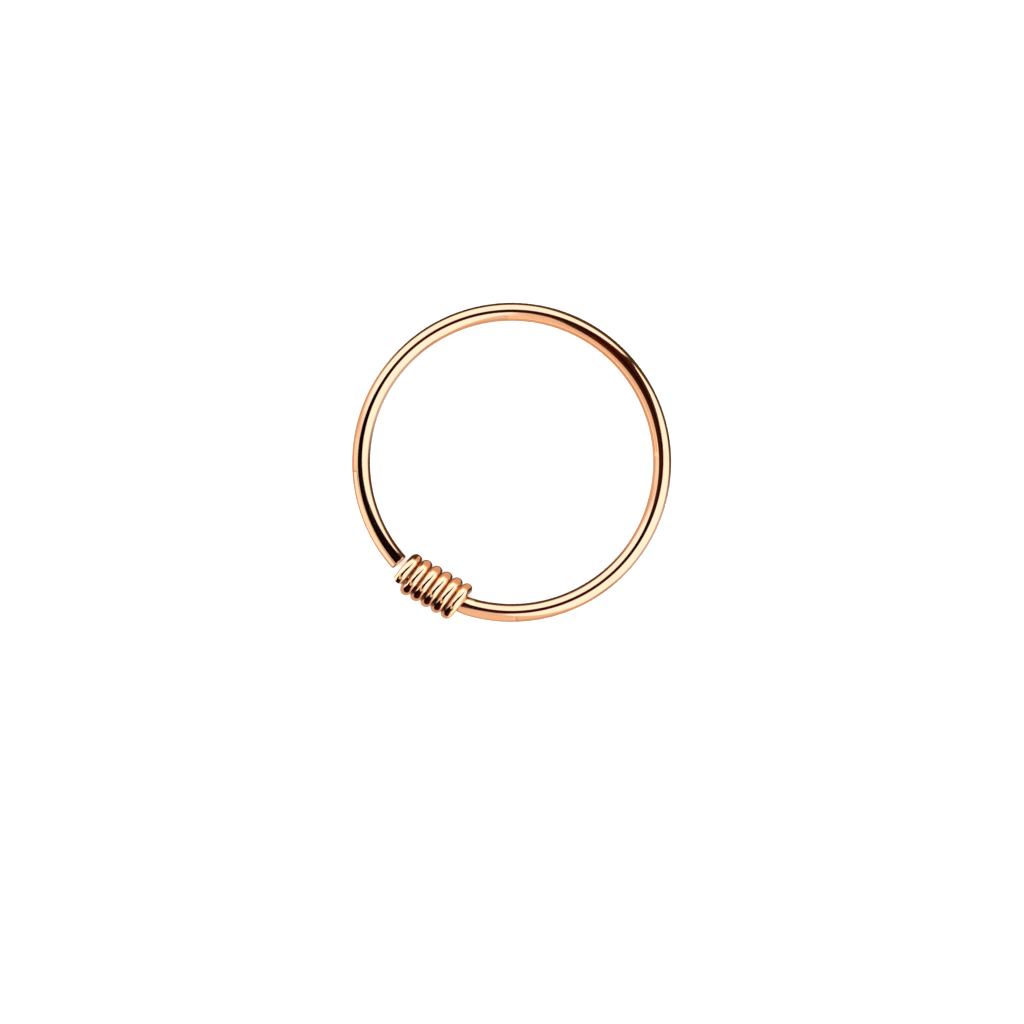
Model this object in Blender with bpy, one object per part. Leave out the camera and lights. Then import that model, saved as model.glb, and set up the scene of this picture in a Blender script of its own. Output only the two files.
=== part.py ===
"""Nose ring: a hoop of round wire whose end is held in a close coil of finer wire.

The hoop is drawn in its own plane, round the origin, with +Z towards the viewer. The coil's axis is a
chord of the hoop, and the hoop's wire bends off its round to run straight along it as the coil's core.
A carrier empty then leans the ring as it lies by itself: on the coil's back and the hoop's far side.
"""
import math

import bpy
from mathutils import Matrix, Vector

MM = 0.001

# hoop
HOOP_WIRE = 0.644 * MM            # diameter of the hoop's wire
HOOP_INSIDE = 10.0 * MM           # clear diameter inside the hoop
BEND_RADIUS = 2.0 * MM            # bend where the wire leaves the round for the coil's axis
CORE_BEND = math.radians(11.5)    # angle between the round and the coil's axis where they would cross
END_GAP = 0.11 * MM               # between the hoop's free end and the coil's first turn
CORE_INSET = 0.13 * MM            # the core's end lies this far inside the coil's outer edge

# coil
WRAP_WIRE = 0.40 * MM             # diameter of the finer wire
WRAP_TURNS = 5.37                 # how often it goes round the core
WRAP_START = math.radians(-43.0)  # where it starts, from the front towards the hoop's inside
WRAP_CLEARANCE = 0.035 * MM       # between the core and the coil
TURN_GAP = 0.010 * MM             # between one turn and the next, square to the wire
LOOSE_START = 0.04 * MM           # the first turn starts this much further out than the others' pitch
PAST_BEND = 0.01 * MM             # the last turn reaches this far past the bend
WRAP_ANGLE = math.radians(240.0)  # direction of the coil, seen from the hoop's centre

# wire ends
END_ROUND = 0.06 * MM             # rounding of a cut wire's edge
END_STEPS = 3                     # points along that rounding

# finish
ROSE_GOLD = (0.93, 0.56, 0.36)
HOOP_ROUGHNESS = 0.08
COIL_ROUGHNESS = 0.10

# fineness
HOOP_STEP = math.radians(2.8)     # arc between two points of the hoop's wire
COIL_POINTS = 36                  # points in each turn of the coil
HOOP_BEVEL = 6                    # a wire has twice this and four more sides
COIL_BEVEL = 4

# worked out from the sizes above
HOOP_R = (HOOP_INSIDE + HOOP_WIRE) / 2
AXIS_DISTANCE = HOOP_R * math.cos(CORE_BEND)
BEND_PLACE = HOOP_R * math.sin(CORE_BEND)
COIL_R = HOOP_WIRE / 2 + WRAP_CLEARANCE + WRAP_WIRE / 2
COIL_OUTER_R = COIL_R + WRAP_WIRE / 2
SLANT = math.asin((WRAP_WIRE + TURN_GAP) / (2 * math.pi * COIL_R))
PITCH = (WRAP_WIRE + TURN_GAP) / math.cos(SLANT)
WRAP_END = WRAP_START + WRAP_TURNS * 2 * math.pi
LAST_PLACE = BEND_PLACE + PAST_BEND - WRAP_WIRE / 2
OUT = Vector((math.cos(WRAP_ANGLE), math.sin(WRAP_ANGLE), 0))
ALONG = Vector((-math.sin(WRAP_ANGLE), math.cos(WRAP_ANGLE), 0))


def coil_place(turned):
    """Place along the coil's axis of its wire, where it has turned by this angle."""
    loose = max(0.0, 1 - (turned - WRAP_START) / math.pi) ** 2
    return LAST_PLACE - PITCH * (WRAP_END - turned) / (2 * math.pi) - LOOSE_START * loose


def coil_point(turned):
    """A point of the coil's wire: X along its axis, Y towards the hoop's centre, Z to the front."""
    return Vector((coil_place(turned), COIL_R * math.sin(turned), COIL_R * math.cos(turned)))


def chord_point(place):
    """A point on the coil's axis, in the hoop's plane."""
    return OUT * AXIS_DISTANCE + ALONG * place


def arc(centre, radius, first, last, step):
    """Points on an arc in the hoop's plane, both ends included."""
    count = max(2, math.ceil(abs(last - first) / step))
    turns = [first + (last - first) * i / count for i in range(count + 1)]
    return [centre + Vector((math.cos(t), math.sin(t), 0)) * radius for t in turns]


def free_end_angle():
    """Direction of the hoop's cut end, which clears the inner side of the coil's first turn."""
    beside = -coil_place(math.pi / 2)
    out = AXIS_DISTANCE - COIL_R
    reach = math.hypot(beside, out)
    return WRAP_ANGLE - math.atan2(beside, out) - math.asin((WRAP_WIRE / 2 + END_GAP) / reach)


def hoop_path():
    """The hoop's wire, from its free end round the hoop and along the coil's axis."""
    centre_out = AXIS_DISTANCE - BEND_RADIUS
    centre_beside = math.sqrt((HOOP_R - BEND_RADIUS) ** 2 - centre_out ** 2)
    bend_angle = math.atan2(centre_beside, centre_out)
    bend_centre = chord_point(centre_beside) - OUT * BEND_RADIUS
    leaves_round = WRAP_ANGLE + bend_angle - 2 * math.pi
    points = arc(Vector((0, 0, 0)), HOOP_R, free_end_angle(), leaves_round, HOOP_STEP)
    points += arc(bend_centre, BEND_RADIUS, leaves_round, WRAP_ANGLE - 2 * math.pi, HOOP_STEP * 2)[1:]
    core_end = coil_place(WRAP_START) - WRAP_WIRE / 2 + CORE_INSET
    return points + [chord_point(core_end)]


def coil_path():
    """The coil's wire, from its visible end to the end hidden behind the core."""
    count = round(WRAP_TURNS * COIL_POINTS)
    return [coil_point(WRAP_START + (WRAP_END - WRAP_START) * i / count) for i in range(count + 1)]


def rounded_end(end, before, wire):
    """Points and radii that round off the edge of a cut wire, from the full wire to its face."""
    inward = (before - end).normalized()
    edge = min(END_ROUND, wire / 4)   # at most half of the wire's radius
    steps = []
    for i in range(END_STEPS + 1):
        turn = math.pi / 2 * i / END_STEPS
        back = edge * (1 - math.sin(turn))
        radius = 1 - 2 * edge / wire * (1 - math.cos(turn))
        steps.append((end + inward * back, radius))
    return steps


def wire_object(name, path, wire, bevel, material):
    """A round wire with filled, rounded ends, as a curve."""
    start = rounded_end(path[0], path[1], wire)[::-1]
    finish = rounded_end(path[-1], path[-2], wire)
    points = start + [(point, 1.0) for point in path[1:-1]] + finish
    curve = bpy.data.curves.new(name, "CURVE")
    curve.dimensions = "3D"
    curve.bevel_depth = wire / 2
    curve.bevel_resolution = bevel
    curve.use_fill_caps = True
    spline = curve.splines.new("POLY")
    spline.points.add(len(points) - 1)
    for spline_point, (place, radius) in zip(spline.points, points):
        spline_point.co = (*place, 1)
        spline_point.radius = radius
    spline.use_smooth = True
    curve.materials.append(material)
    return bpy.data.objects.new(name, curve)


def metal(name, colour, roughness):
    """A polished metal."""
    material = bpy.data.materials.new(name)
    material.use_nodes = True
    shader = material.node_tree.nodes["Principled BSDF"]
    shader.inputs["Base Color"].default_value = (*colour, 1)
    shader.inputs["Metallic"].default_value = 1
    shader.inputs["Roughness"].default_value = roughness
    return material


def make_hoop():
    """The hoop, drawn in place in its own plane."""
    return wire_object("hoop", hoop_path(), HOOP_WIRE, HOOP_BEVEL,
                       metal("hoop_rose_gold", ROSE_GOLD, HOOP_ROUGHNESS))


def make_coil():
    """The coil, drawn along X and set on its chord of the hoop."""
    coil = wire_object("coil_wrap", coil_path(), WRAP_WIRE, COIL_BEVEL,
                       metal("coil_rose_gold", ROSE_GOLD, COIL_ROUGHNESS))
    coil.location = chord_point(0)
    coil.rotation_euler.z = WRAP_ANGLE + math.pi / 2
    return coil


def lay_down(carrier, pieces):
    """Leans the ring on the coil's back and the hoop's far side, with its foot's middle at the origin."""
    lean = math.asin((COIL_OUTER_R - HOOP_WIRE / 2) / (AXIS_DISTANCE + HOOP_R))
    carrier.rotation_euler = Matrix.Rotation(-lean, 3, ALONG).to_euler()
    bpy.context.view_layer.update()
    depsgraph = bpy.context.evaluated_depsgraph_get()
    corners = []
    for piece in pieces:
        evaluated = piece.evaluated_get(depsgraph)
        mesh = evaluated.to_mesh()
        corners += [evaluated.matrix_world @ vertex.co for vertex in mesh.vertices]
        evaluated.to_mesh_clear()
    low = [min(corner[axis] for corner in corners) for axis in range(3)]
    high = [max(corner[axis] for corner in corners) for axis in range(3)]
    carrier.location = (-(low[0] + high[0]) / 2, -(low[1] + high[1]) / 2, -low[2])


def main():
    for old in list(bpy.data.objects):
        bpy.data.objects.remove(old, do_unlink=True)
    collection = bpy.data.collections.new("nose_ring")
    bpy.context.scene.collection.children.link(collection)
    carrier = bpy.data.objects.new("ring_carrier", None)
    pieces = [make_hoop(), make_coil()]
    for thing in [carrier] + pieces:
        collection.objects.link(thing)
    for piece in pieces:
        piece.parent = carrier
    lay_down(carrier, pieces)


main()
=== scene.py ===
"""Looks of the nose ring: two polished rose-gold wires, lying on a pale table and seen square to the hoop.

Both wires are drawn level, round the hoop's centre, in the hoop's own plane: X to the right, Y up and Z
towards the viewer. The finished pieces are then leaned and set down as the ring lies.
"""
import math

import bmesh
import bpy
from mathutils import Matrix, Vector


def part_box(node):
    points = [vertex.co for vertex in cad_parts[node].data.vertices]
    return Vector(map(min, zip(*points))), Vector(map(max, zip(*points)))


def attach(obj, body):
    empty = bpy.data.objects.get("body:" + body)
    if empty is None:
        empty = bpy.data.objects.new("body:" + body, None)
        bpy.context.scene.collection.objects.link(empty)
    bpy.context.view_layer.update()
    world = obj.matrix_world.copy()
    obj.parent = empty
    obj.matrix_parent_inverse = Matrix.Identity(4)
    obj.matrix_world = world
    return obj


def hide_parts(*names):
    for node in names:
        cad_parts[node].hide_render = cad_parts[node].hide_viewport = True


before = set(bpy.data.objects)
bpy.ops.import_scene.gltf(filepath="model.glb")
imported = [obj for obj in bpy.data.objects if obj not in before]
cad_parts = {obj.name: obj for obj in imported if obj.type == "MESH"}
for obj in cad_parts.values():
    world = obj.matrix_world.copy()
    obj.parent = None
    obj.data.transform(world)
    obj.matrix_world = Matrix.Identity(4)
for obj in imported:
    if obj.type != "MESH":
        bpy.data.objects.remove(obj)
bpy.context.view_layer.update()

MM = 0.001

# the ring's sizes
HOOP_WIRE = 0.644 * MM
HOOP_INSIDE = 10.0 * MM
BEND_RADIUS = 2.0 * MM
CORE_BEND = math.radians(11.5)
FREE_END_ANGLE = math.radians(221.9)
CORE_INSET = 0.13 * MM
WRAP_WIRE = 0.40 * MM
WRAP_TURNS = 5.37
WRAP_START = math.radians(-43.0)
WRAP_CLEARANCE = 0.035 * MM
TURN_GAP = 0.010 * MM
LOOSE_START = 0.04 * MM
PAST_BEND = 0.01 * MM
WRAP_ANGLE = math.radians(240.0)
END_ROUND = 0.06 * MM

# how finely the wires are drawn
HOOP_SIDES = 64
HOOP_STEPS = 330
BEND_STEPS = 12
COIL_SIDES = 36
COIL_STEPS = 400
END_SEGMENTS = 5

# worked out from the sizes
HOOP_R = (HOOP_INSIDE + HOOP_WIRE) / 2
AXIS_DISTANCE = HOOP_R * math.cos(CORE_BEND)
BEND_PLACE = HOOP_R * math.sin(CORE_BEND)
COIL_R = HOOP_WIRE / 2 + WRAP_CLEARANCE + WRAP_WIRE / 2
SLANT = math.asin((WRAP_WIRE + TURN_GAP) / (2 * math.pi * COIL_R))
PITCH = (WRAP_WIRE + TURN_GAP) / math.cos(SLANT)
WRAP_END = WRAP_START + WRAP_TURNS * 2 * math.pi
LAST_PLACE = BEND_PLACE + PAST_BEND - WRAP_WIRE / 2
OUT = Vector((math.cos(WRAP_ANGLE), math.sin(WRAP_ANGLE), 0))
ALONG = Vector((-math.sin(WRAP_ANGLE), math.cos(WRAP_ANGLE), 0))
BEND_CENTRE_PLACE = math.sqrt((HOOP_R - BEND_RADIUS) ** 2 - (AXIS_DISTANCE - BEND_RADIUS) ** 2)
BEND_ANGLE = math.atan2(BEND_CENTRE_PLACE, AXIS_DISTANCE - BEND_RADIUS)
HOOP_SWEEP = FREE_END_ANGLE - (WRAP_ANGLE + BEND_ANGLE - 2 * math.pi)
COIL_LENGTH = (WRAP_END - WRAP_START) * COIL_R
PAST_HOOP = 2 * math.pi * HOOP_R + HOOP_WIRE   # longer than the hoop, whose hidden end keeps its polish

# how the ring lies: on the coil's back and the hoop's far side
LEAN = math.asin((COIL_R + WRAP_WIRE / 2 - HOOP_WIRE / 2) / (AXIS_DISTANCE + HOOP_R))
hoop_low, hoop_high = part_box("hoop")
CENTRE = Vector(((hoop_low[0] + hoop_high[0]) / 2, (hoop_low[1] + hoop_high[1]) / 2,
                 hoop_low[2] + HOOP_WIRE / 2 + HOOP_R * math.sin(LEAN)))
LAID = Matrix.Translation(CENTRE) @ Matrix.Rotation(-LEAN, 4, ALONG)

# the photograph's frame, and where the hoop's centre lies in it
FRAME_WIDTH = 36.195 * MM
PHOTO_SIZE = 1024
HOOP_PIXEL = (511.6, 462.4)
CAMERA_DISTANCE = 200 * MM
SENSOR = 36

# light that the studio's parts give off, before the metal tints it
CREAM = (1.40, 1.48, 1.66, 1)
LIGHT_PEACH = (1.15, 1.22, 1.20, 1)
PEACH = (0.92, 0.76, 0.64, 1)
TAN = (0.68, 0.44, 0.31, 1)
BROWN = (0.032, 0.004, 0.0005, 1)
SHADE = (0.085, 0.045, 0.012, 1)
BLACK = (0.003, 0.001, 0.0005, 1)
GLOW = (0.045, 0.007, 0.001, 1)
WHITE = (1, 1, 1, 1)

# lamps beside the ring: radius and azimuth of the place, azimuth that the light goes towards, width, heights
# of the lower and the upper edge over the hoop's middle, and light; in millimetres and degrees
PANELS = (
    ("free_end_panel", 6.3, 203, 23, 4.47, -0.18, 0.95, LIGHT_PEACH),
    ("right_glow", 6.9, 20, -160, 9.5, 0.3, 7.0, GLOW),
    ("middle_glow", 2.0, 20, 20, 3.4, 4.5, 30.0, GLOW),
    ("bottom_panel", 6.3, 260.2, 80.2, 2.5, -0.18, 0.95, PEACH),
    ("middle_panel", 2.0, 47.5, 47.5, 3.88, -0.05, 2.5, PEACH),
    ("middle_low_panel", 2.0, 47.5, 47.5, 3.88, -1.3, -0.05, TAN),
    ("coil_panel", 4.3, 240, 240, 2.3, -0.12, 0.8, TAN),
)

# azimuth from the right and how far the dark round the camera reaches there, both in degrees
DARK_REACH = (
    (-180, 43), (-170, 42), (-160, 38), (-150, 37), (-120, 40), (-114, 34), (-108, 20), (-100, 11), (-90, 9),
    (-30, 9), (-5, 13), (10, 22), (20, 37), (30, 53), (38, 67), (41, 90), (44, 62), (51, 47), (60, 36),
    (80, 30), (110, 29), (145, 29), (155, 34), (170, 41), (180, 43),
)

# the table and the lamp over it, which lights the table alone
TABLE_SIZE = 1.2
TABLE_COLOUR = (0.90, 0.90, 0.90, 1)
TABLE_SKY = (1.05, 1.05, 1.05, 1)
TABLE_LAMP_SIZE = 0.5
TABLE_LAMP_HEIGHT = 0.5
TABLE_LIGHT = 4.2

# the metal
POLISHED = (0.95, 0.60, 0.38, 1)
MELLOW = (0.93, 0.56, 0.34, 1)
# painted shade for the grooves between the coil's strands
GROOVE_SHADE = (0.64, 0.38, 0.23, 1)
ROUGHNESS = 0.055
POLISH_DEPTH = 0.00012 * MM
UNEVENNESS = 0.003 * MM
UNEVEN_LENGTH = 0.9 * MM

# how many features a metre of wire has along it, outward and aside
PATCHES = (900, 1400, 1400)
DRAWN_LINES = (500, 22000, 22000)
HAIRLINES = (26000, 4000, 4000)
CUT_GRAIN = (60000, 60000, 60000)


def coil_place(turned):
    """Place along the coil's axis of its wire, where it has turned by this angle."""
    loose = max(0.0, 1 - (turned - WRAP_START) / math.pi) ** 2
    return LAST_PLACE - PITCH * (WRAP_END - turned) / (2 * math.pi) - LOOSE_START * loose


def select_only(piece):
    """Selects this piece alone and makes it the active one."""
    bpy.ops.object.select_all(action="DESELECT")
    piece.select_set(True)
    bpy.context.view_layer.objects.active = piece


def apply_place(piece):
    """Moves a piece's place and turn into its mesh."""
    select_only(piece)
    bpy.ops.object.transform_apply(location=True, rotation=True, scale=True)


def start_wire(name, centre, turned, wire, sides):
    """A round of edges square to the wire, selected in edit mode and ready to be drawn out."""
    bpy.ops.object.select_all(action="DESELECT")
    bpy.ops.mesh.primitive_circle_add(vertices=sides, radius=wire / 2, fill_type="NOTHING",
                                      location=centre, rotation=turned)
    piece = bpy.context.active_object
    piece.name = piece.data.name = name
    apply_place(piece)
    bpy.ops.object.mode_set(mode="EDIT")
    bpy.ops.mesh.select_mode(type="EDGE")
    bpy.ops.mesh.select_all(action="SELECT")
    return piece


def close_ends(piece):
    """Caps both ends of a drawn wire and rounds their edges as a polished cut is."""
    bpy.ops.mesh.select_all(action="SELECT")
    bpy.ops.mesh.fill_holes(sides=0)
    bpy.ops.mesh.select_mode(type="FACE")
    bpy.ops.mesh.select_all(action="DESELECT")
    drawn = bmesh.from_edit_mesh(piece.data)
    for face in drawn.faces:
        face.select_set(len(face.verts) > 4)
    bmesh.update_edit_mesh(piece.data)
    bpy.ops.mesh.region_to_loop()
    bpy.ops.mesh.bevel(offset=END_ROUND, offset_type="OFFSET", segments=END_SEGMENTS, affect="EDGES")
    bpy.ops.mesh.select_all(action="SELECT")
    bpy.ops.mesh.normals_make_consistent(inside=False)
    if bmesh.from_edit_mesh(piece.data).calc_volume(signed=True) < 0:
        bpy.ops.mesh.flip_normals()
    bpy.ops.object.mode_set(mode="OBJECT")


def make_uneven(piece, depth):
    """The slight unevenness that polishing leaves on a round wire."""
    texture = bpy.data.textures.new(piece.name + "_unevenness", "CLOUDS")
    texture.noise_scale = UNEVEN_LENGTH
    select_only(piece)
    modifier = piece.modifiers.new("unevenness", "DISPLACE")
    modifier.texture = texture
    modifier.strength = depth
    bpy.ops.object.modifier_apply(modifier=modifier.name)


def mark_run(piece, straighten):
    """Keeps on every point where it lies in the straightened wire: along it, outward and aside."""
    run = piece.data.attributes.new("wire_run", "FLOAT_VECTOR", "POINT")
    for point, place in zip(piece.data.vertices, run.data):
        place.vector = straighten(point.co)


def draw_hoop():
    """The hoop's wire: spun round the hoop, bent, and drawn straight through the coil."""
    start = Vector((math.cos(FREE_END_ANGLE), math.sin(FREE_END_ANGLE), 0)) * HOOP_R
    piece = start_wire("hoop_wire", start, (math.pi / 2, 0, FREE_END_ANGLE), HOOP_WIRE, HOOP_SIDES)
    bpy.ops.mesh.spin(steps=HOOP_STEPS, angle=HOOP_SWEEP, center=(0, 0, 0), axis=(0, 0, 1))
    bend_centre = OUT * (AXIS_DISTANCE - BEND_RADIUS) + ALONG * BEND_CENTRE_PLACE
    bpy.ops.mesh.spin(steps=BEND_STEPS, angle=BEND_ANGLE, center=bend_centre, axis=(0, 0, 1))
    core_end = coil_place(WRAP_START) - WRAP_WIRE / 2 + CORE_INSET
    bpy.ops.mesh.extrude_region_move(
        TRANSFORM_OT_translate={"value": ALONG * (core_end - BEND_CENTRE_PLACE)})
    close_ends(piece)
    make_uneven(piece, UNEVENNESS)

    def straighten(point):
        turned = (FREE_END_ANGLE - math.atan2(point.y, point.x)) % (2 * math.pi)
        return turned * HOOP_R, math.hypot(point.x, point.y) - HOOP_R, point.z

    mark_run(piece, straighten)
    return piece


def draw_coil():
    """The coil's wire, wound turn by turn round X and then set on its chord of the hoop."""
    tangent = Vector((PITCH / (2 * math.pi), COIL_R * math.cos(WRAP_START), -COIL_R * math.sin(WRAP_START)))
    start = (coil_place(WRAP_START), COIL_R * math.sin(WRAP_START), COIL_R * math.cos(WRAP_START))
    piece = start_wire("coil_wire", start, tangent.to_track_quat("Z", "Y").to_euler(), WRAP_WIRE, COIL_SIDES)
    turn = (WRAP_END - WRAP_START) / COIL_STEPS
    for step in range(COIL_STEPS):
        turned = WRAP_START + turn * step
        forward = coil_place(turned + turn) - coil_place(turned)
        bpy.ops.mesh.extrude_region_move(TRANSFORM_OT_translate={"value": (forward, 0, 0)})
        bpy.ops.transform.rotate(value=turn, orient_axis="X", orient_type="GLOBAL", center_override=(0, 0, 0))
    close_ends(piece)
    make_uneven(piece, UNEVENNESS / 2)

    def straighten(point):
        turned = math.atan2(point.y, point.z)
        turned += 2 * math.pi * max(0, round((point.x - coil_place(turned)) / PITCH))
        return ((turned - WRAP_START) * COIL_R, math.hypot(point.y, point.z) - COIL_R,
                point.x - coil_place(turned))

    mark_run(piece, straighten)
    piece.location = OUT * AXIS_DISTANCE
    piece.rotation_euler.z = WRAP_ANGLE + math.pi / 2
    apply_place(piece)
    return piece


class Value:
    """A shader socket that can stand in sums; each operator adds its own Math node."""

    def __init__(self, shader, socket):
        self.shader = shader
        self.socket = socket

    def math(self, operation, *values):
        """One Math node on these values."""
        return self.shader.node("ShaderNodeMath", {"operation": operation}, dict(enumerate(values)))

    def __add__(self, other):
        return self.math("ADD", self, other)

    def __sub__(self, other):
        return self.math("SUBTRACT", self, other)

    def __rsub__(self, other):
        return self.math("SUBTRACT", other, self)

    def __mul__(self, other):
        return self.math("MULTIPLY", self, other)

    __radd__ = __add__
    __rmul__ = __mul__

    def unsigned(self):
        """This value without its sign."""
        return self.math("ABSOLUTE", self)

    def over(self, other):
        """This value, or the other where that is more."""
        return self.math("MAXIMUM", self, other)

    def rise(self, low, high):
        """0 below low, 1 above high, and a smooth step between."""
        return self.shader.node("ShaderNodeMapRange", {"interpolation_type": "SMOOTHSTEP"},
                                {"Value": self, "From Min": low, "From Max": high})

    def band(self, first, full, fading, last):
        """1 between full and fading, 0 below first and above last, and smooth steps between."""
        return self.rise(first, full) * (1 - self.rise(fading, last))


class Shader:
    """A material's or world's node tree, filled one node at a time."""

    def __init__(self, owner):
        owner.use_nodes = True
        self.tree = owner.node_tree
        self.tree.nodes.clear()

    def node(self, kind, settings=None, sockets=None, out=0):
        """Adds a node: its type, its settings, the values or links of its sockets, and the output wanted."""
        made = self.tree.nodes.new(kind)
        for name, setting in (settings or {}).items():
            setattr(made, name, setting)
        for name, value in (sockets or {}).items():
            if isinstance(value, Value):
                self.tree.links.new(value.socket, made.inputs[name])
            else:
                made.inputs[name].default_value = value
        return Value(self, made.outputs[out]) if len(made.outputs) else made

    def parts(self, vector):
        """The three numbers of a vector."""
        x = self.node("ShaderNodeSeparateXYZ", None, {"Vector": vector})
        return x, Value(self, x.socket.node.outputs[1]), Value(self, x.socket.node.outputs[2])

    def curve(self, azimuth, points):
        """Degrees drawn over the azimuth, through these pairs."""
        made = self.node("ShaderNodeFloatCurve", None, {"Factor": 1.0, "Value": azimuth * (1 / 360) + 0.5})
        mapping = made.socket.node.mapping
        line = mapping.curves[0].points
        for place, (turned, reach) in enumerate(points):
            # a new curve already has two points
            point = line[place] if place < 2 else line.new(0.5, 0.5)
            point.location = (turned / 360 + 0.5, reach / 180)
        mapping.update()
        return made * 180

    def noise(self, place, fineness, detail):
        """Noise from 0 to 1, with this many features in each metre along the three axes."""
        fine = self.node("ShaderNodeVectorMath", {"operation": "MULTIPLY"}, {0: place, 1: fineness})
        return self.node("ShaderNodeTexNoise", None, {"Vector": fine, "Scale": 1.0, "Detail": detail})

    def mix(self, share, first, second):
        """The first colour, and the second where share is 1."""
        return self.node("ShaderNodeMix", {"data_type": "RGBA"}, {0: share, 6: first, 7: second}, out=2)


def light_studio():
    """Light and dark round the ring, laid out by direction.

    Polar is the angle from the camera's direction and azimuth the angle from the right, both in degrees. The
    hoop's outer side reflects what lies at its own azimuth, and its inner side what lies opposite.
    """
    world = bpy.data.worlds.new("studio")
    bpy.context.scene.world = world
    sky = Shader(world)
    direction = sky.node("ShaderNodeTexCoord", out="Generated")
    level = sky.node("ShaderNodeVectorRotate", {"rotation_type": "AXIS_ANGLE"},
                     {"Vector": direction, "Center": (0, 0, 0), "Axis": ALONG, "Angle": LEAN})
    x, y, z = sky.parts(level)
    polar = z.math("ARCCOSINE", z) * math.degrees(1)
    azimuth = y.math("ARCTAN2", y, x) * math.degrees(1)

    # peach on the left and the lower left, cream elsewhere; both borders slant with height
    from_right = azimuth.unsigned()
    left = (from_right + 0.35 * (polar - 60).over(0)).rise(154, 174)
    lower_left = 1 - (azimuth - 0.45 * (polar - 30).over(0)).rise(-95, -89)
    peach_side = left.over(lower_left)
    peach = sky.mix(from_right.rise(164, 174) * 0.6, PEACH, LIGHT_PEACH)
    light = sky.mix(peach_side, CREAM, peach)

    # shade below the horizon: tan on the peach side and brown elsewhere
    # the brown begins higher at the upper right and is weaker at the lower right
    light = sky.mix(polar.rise(90, 108) * peach_side * 0.85, light, TAN)
    higher = azimuth.band(24, 36, 64, 84)
    weaker = azimuth.band(-58, -44, -22, 4)
    shade = (polar + 13 * higher).rise(90, 104) * (1 - peach_side) * (1 - 0.4 * weaker)
    light = sky.mix(shade, light, SHADE)

    # dark round the camera and, near the horizon, on the side that the coil faces
    # it is black at the left and the right, and brown between them
    round_camera = 1 - (polar - sky.curve(azimuth, DARK_REACH)).rise(-3, 3)
    coil_side = azimuth.band(-177.4, -176.8, -88.6, -88.0) * polar.band(50, 55, 112, 120)
    black = from_right.rise(134, 140).over(azimuth.band(-34, -24, 42, 50))
    light = sky.mix(round_camera.over(coil_side), light, sky.mix(black, BROWN, BLACK))

    # the table sees an even light, and the camera a white ground
    light = sky.mix(sky.node("ShaderNodeLightPath", out="Is Diffuse Ray"), light, TABLE_SKY)
    light = sky.mix(sky.node("ShaderNodeLightPath", out="Is Camera Ray"), light, WHITE)
    background = sky.node("ShaderNodeBackground", None, {"Color": light, "Strength": 1.0})
    sky.node("ShaderNodeOutputWorld", None, {"Surface": background})


def hang_panel(name, radius, azimuth, facing, width, low, high, light):
    """A small upright lamp that only the metal sees, as the list of panels gives it."""
    turned = math.radians(azimuth)
    faced = math.radians(facing)
    lamp_data = bpy.data.lights.new(name, "AREA")
    lamp_data.shape = "RECTANGLE"
    lamp_data.size = width * MM
    lamp_data.size_y = (high - low) * MM
    lamp_data.energy = math.pi * lamp_data.size * lamp_data.size_y
    lamp_data.color = light[:3]
    lamp = bpy.data.objects.new(name, lamp_data)
    bpy.context.scene.collection.objects.link(lamp)
    lamp.visible_camera = lamp.visible_diffuse = False
    centre = Vector((radius * math.cos(turned), radius * math.sin(turned), (low + high) / 2)) * MM
    aim = Vector((math.cos(faced), math.sin(faced), 0)).to_track_quat("-Z", "Y").to_matrix().to_4x4()
    lamp.matrix_world = LAID @ Matrix.Translation(centre) @ aim


def polished_rose_gold(name, length, groove_shade_share):
    """Rose gold plate with the faint lines of a drawn wire, duller cut ends, and rougher grooves darkened
    with painted shade.
    """
    material = bpy.data.materials.new(name)
    metal = Shader(material)
    run = metal.node("ShaderNodeAttribute", {"attribute_name": "wire_run"}, out="Vector")
    along, outward, aside = metal.parts(run)

    # polish: broad patches, drawn lines along the wire and hairlines across it
    patches = metal.noise(run, PATCHES, 2)
    lines = metal.noise(run, DRAWN_LINES, 3)
    hairlines = metal.noise(run, HAIRLINES, 2).rise(0.62, 0.80)

    # the cut faces at the wire's ends, and the grooves where one strand meets the next, which are rougher and
    # darkened with painted shade
    start_face = 1 - along.rise(0.2 * END_ROUND, 0.9 * END_ROUND)
    end_face = along.rise(length - 0.9 * END_ROUND, length - 0.2 * END_ROUND)
    cut = start_face.over(end_face)
    side = aside.unsigned() * (2 / WRAP_WIRE)
    groove_shade_and_dullness = side.rise(0.66, 0.98) * groove_shade_share

    tint = metal.mix(patches.rise(0.35, 0.70) * 0.5, POLISHED, MELLOW)
    # painted shade: the grooves are tinted darker than the rest of the wire
    tint = metal.mix(groove_shade_and_dullness, tint, GROOVE_SHADE)
    roughness = ROUGHNESS + 0.03 * patches + 0.02 * lines + 0.05 * hairlines + 0.05 * groove_shade_and_dullness + 0.16 * cut
    height = lines * 0.7 + hairlines * 0.4 + metal.noise(run, CUT_GRAIN, 2) * cut * 3
    bump = metal.node("ShaderNodeBump", None, {"Strength": 1.0, "Distance": POLISH_DEPTH, "Height": height})
    surface = metal.node("ShaderNodeBsdfPrincipled", None,
                         {"Base Color": tint, "Metallic": 1.0, "Roughness": roughness, "Normal": bump})
    metal.node("ShaderNodeOutputMaterial", None, {"Surface": surface})
    return material


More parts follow.
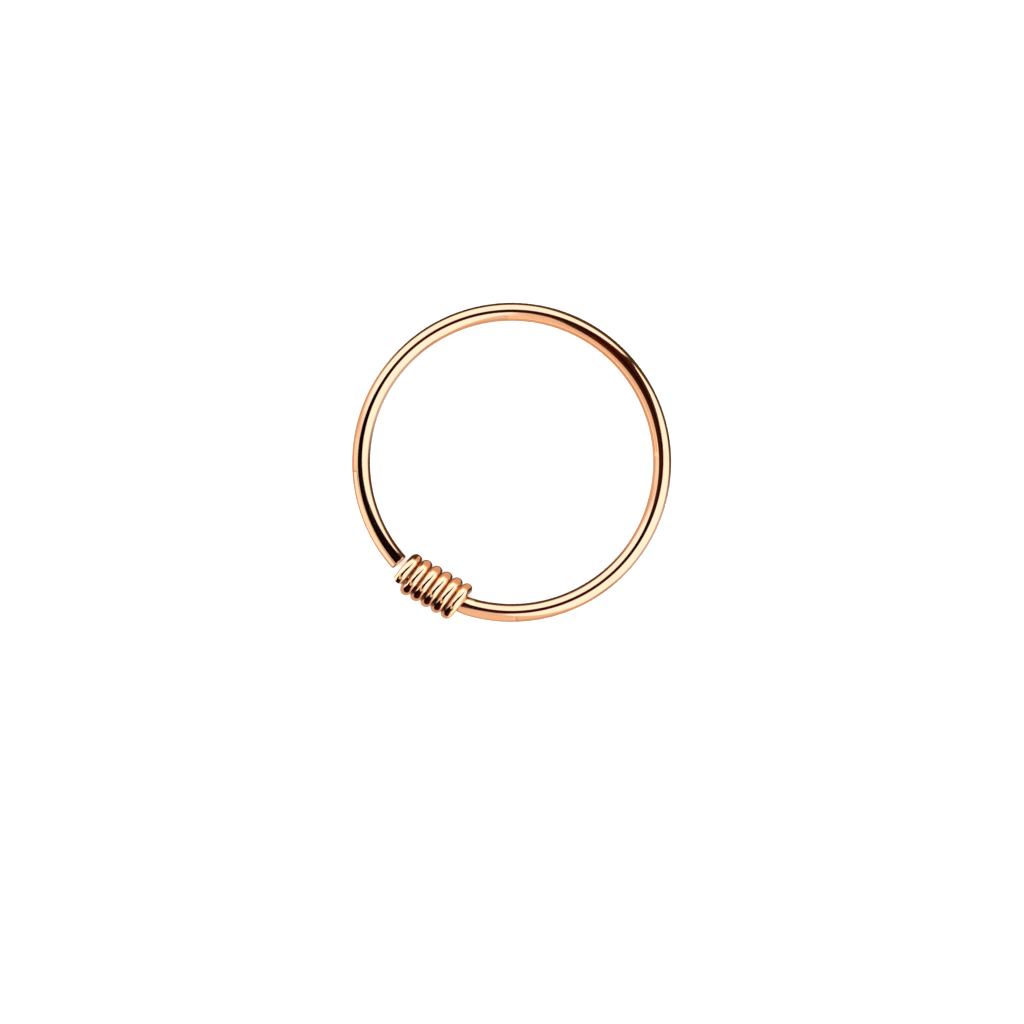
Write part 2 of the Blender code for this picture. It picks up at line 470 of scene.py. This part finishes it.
def lay_table():
    """A pale table with its own lamp, which the metal doesn't reflect."""
    bpy.ops.object.select_all(action="DESELECT")
    bpy.ops.mesh.primitive_plane_add(size=TABLE_SIZE)
    table = bpy.context.active_object
    table.name = "table"
    table.visible_glossy = False
    material = bpy.data.materials.new("pale_table")
    pale = Shader(material)
    surface = pale.node("ShaderNodeBsdfPrincipled", None,
                        {"Base Color": TABLE_COLOUR, "Roughness": 0.9, "Specular IOR Level": 0.0})
    pale.node("ShaderNodeOutputMaterial", None, {"Surface": surface})
    table.data.materials.append(material)
    lamp_data = bpy.data.lights.new("table_light", "AREA")
    lamp_data.size = TABLE_LAMP_SIZE
    lamp_data.energy = TABLE_LIGHT
    lamp = bpy.data.objects.new("table_light", lamp_data)
    lamp.location.z = TABLE_LAMP_HEIGHT
    lamp.visible_glossy = lamp.visible_camera = False
    bpy.context.scene.collection.objects.link(lamp)


def place_camera():
    """Square to the hoop, with the hoop's centre where it lies in the photograph."""
    camera_data = bpy.data.cameras.new("camera")
    camera = bpy.data.objects.new("camera", camera_data)
    bpy.context.scene.collection.objects.link(camera)
    camera_data.sensor_width = SENSOR
    camera_data.lens = SENSOR * CAMERA_DISTANCE / FRAME_WIDTH
    camera_data.clip_start = CAMERA_DISTANCE / 100
    camera_data.clip_end = CAMERA_DISTANCE * 50
    pixel = FRAME_WIDTH / PHOTO_SIZE
    aside = Vector((PHOTO_SIZE / 2 - HOOP_PIXEL[0], HOOP_PIXEL[1] - PHOTO_SIZE / 2, 0)) * pixel
    camera.matrix_world = LAID @ Matrix.Translation(aside + Vector((0, 0, CAMERA_DISTANCE)))
    bpy.context.scene.camera = camera


# the coil's grooves get painted shade and roughness, the hoop none
for node, piece, length, groove_shade_share in (("hoop", draw_hoop(), PAST_HOOP, 0.0),
                                          ("coil_wrap", draw_coil(), COIL_LENGTH, 0.8)):
    piece.matrix_world = LAID
    apply_place(piece)
    bpy.ops.object.shade_smooth()
    piece.data.materials.append(polished_rose_gold(piece.name, length, groove_shade_share))
    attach(piece, "root")
    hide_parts(node)
lay_table()
light_studio()
for panel in PANELS:
    hang_panel(*panel)
place_camera()
bpy.context.scene.view_settings.view_transform = "Standard"
